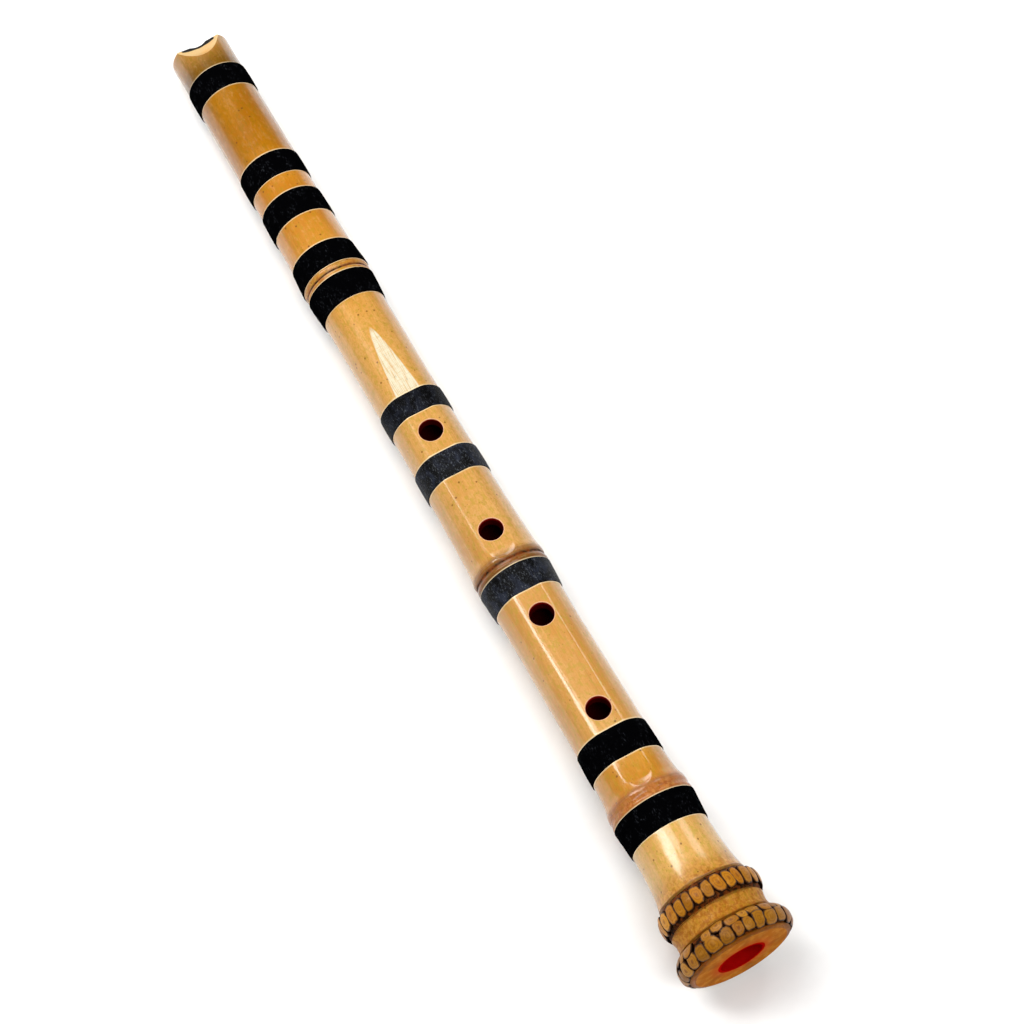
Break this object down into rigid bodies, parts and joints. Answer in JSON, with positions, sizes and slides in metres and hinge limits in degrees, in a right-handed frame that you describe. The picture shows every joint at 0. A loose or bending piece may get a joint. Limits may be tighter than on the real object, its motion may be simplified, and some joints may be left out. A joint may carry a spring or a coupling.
{
  "type": "bamboo flute",
  "caption": "Root-end bamboo end-blown flute with black thread bindings, red lacquered bore, open finger holes, a blowing bevel and a pull-apart middle joint.",
  "frame": {"origin": "centre of the flute's box, on the bore's centre line", "axes": "+X along the bore from the mouth end to the root end, +Z out through the finger holes, +Y to the left when looking to the root end with the finger holes up"},
  "size_m": [0.545, 0.0554, 0.0554],
  "materials": {
    "bamboo_upper": "satin polished bamboo skin, warm ochre brown",
    "bamboo_lower": "polished bamboo skin, golden tan with brown specks",
    "dark_horn": "polished dark horn",
    "red_lacquer": "glossy dark red urushi lacquer",
    "black_thread": "tightly wound black thread with a satin sheen",
    "tenon_lacquer": "dark lacquered wood"
  },
  "bodies": {
    "root_section": {"lower_culm": "bamboo_lower", "lower_bore_lining": "red_lacquer", "joint_tenon": "tenon_lacquer", "binding_06": "black_thread", "binding_07": "black_thread", "binding_08": "black_thread", "binding_09": "black_thread", "binding_10": "black_thread"},
    "mouth_section": {"upper_culm": "bamboo_upper", "upper_bore_lining": "red_lacquer", "utaguchi_inlay": "dark_horn", "binding_01": "black_thread", "binding_02": "black_thread", "binding_03": "black_thread", "binding_04": "black_thread", "binding_05": "black_thread"}
  },
  "joints": [
    {"name": "middle_joint", "type": "slide", "parent": "root_section", "child": "mouth_section", "axis": [-1, 0, 0], "range_m": [0, 0.03]}
  ]
}
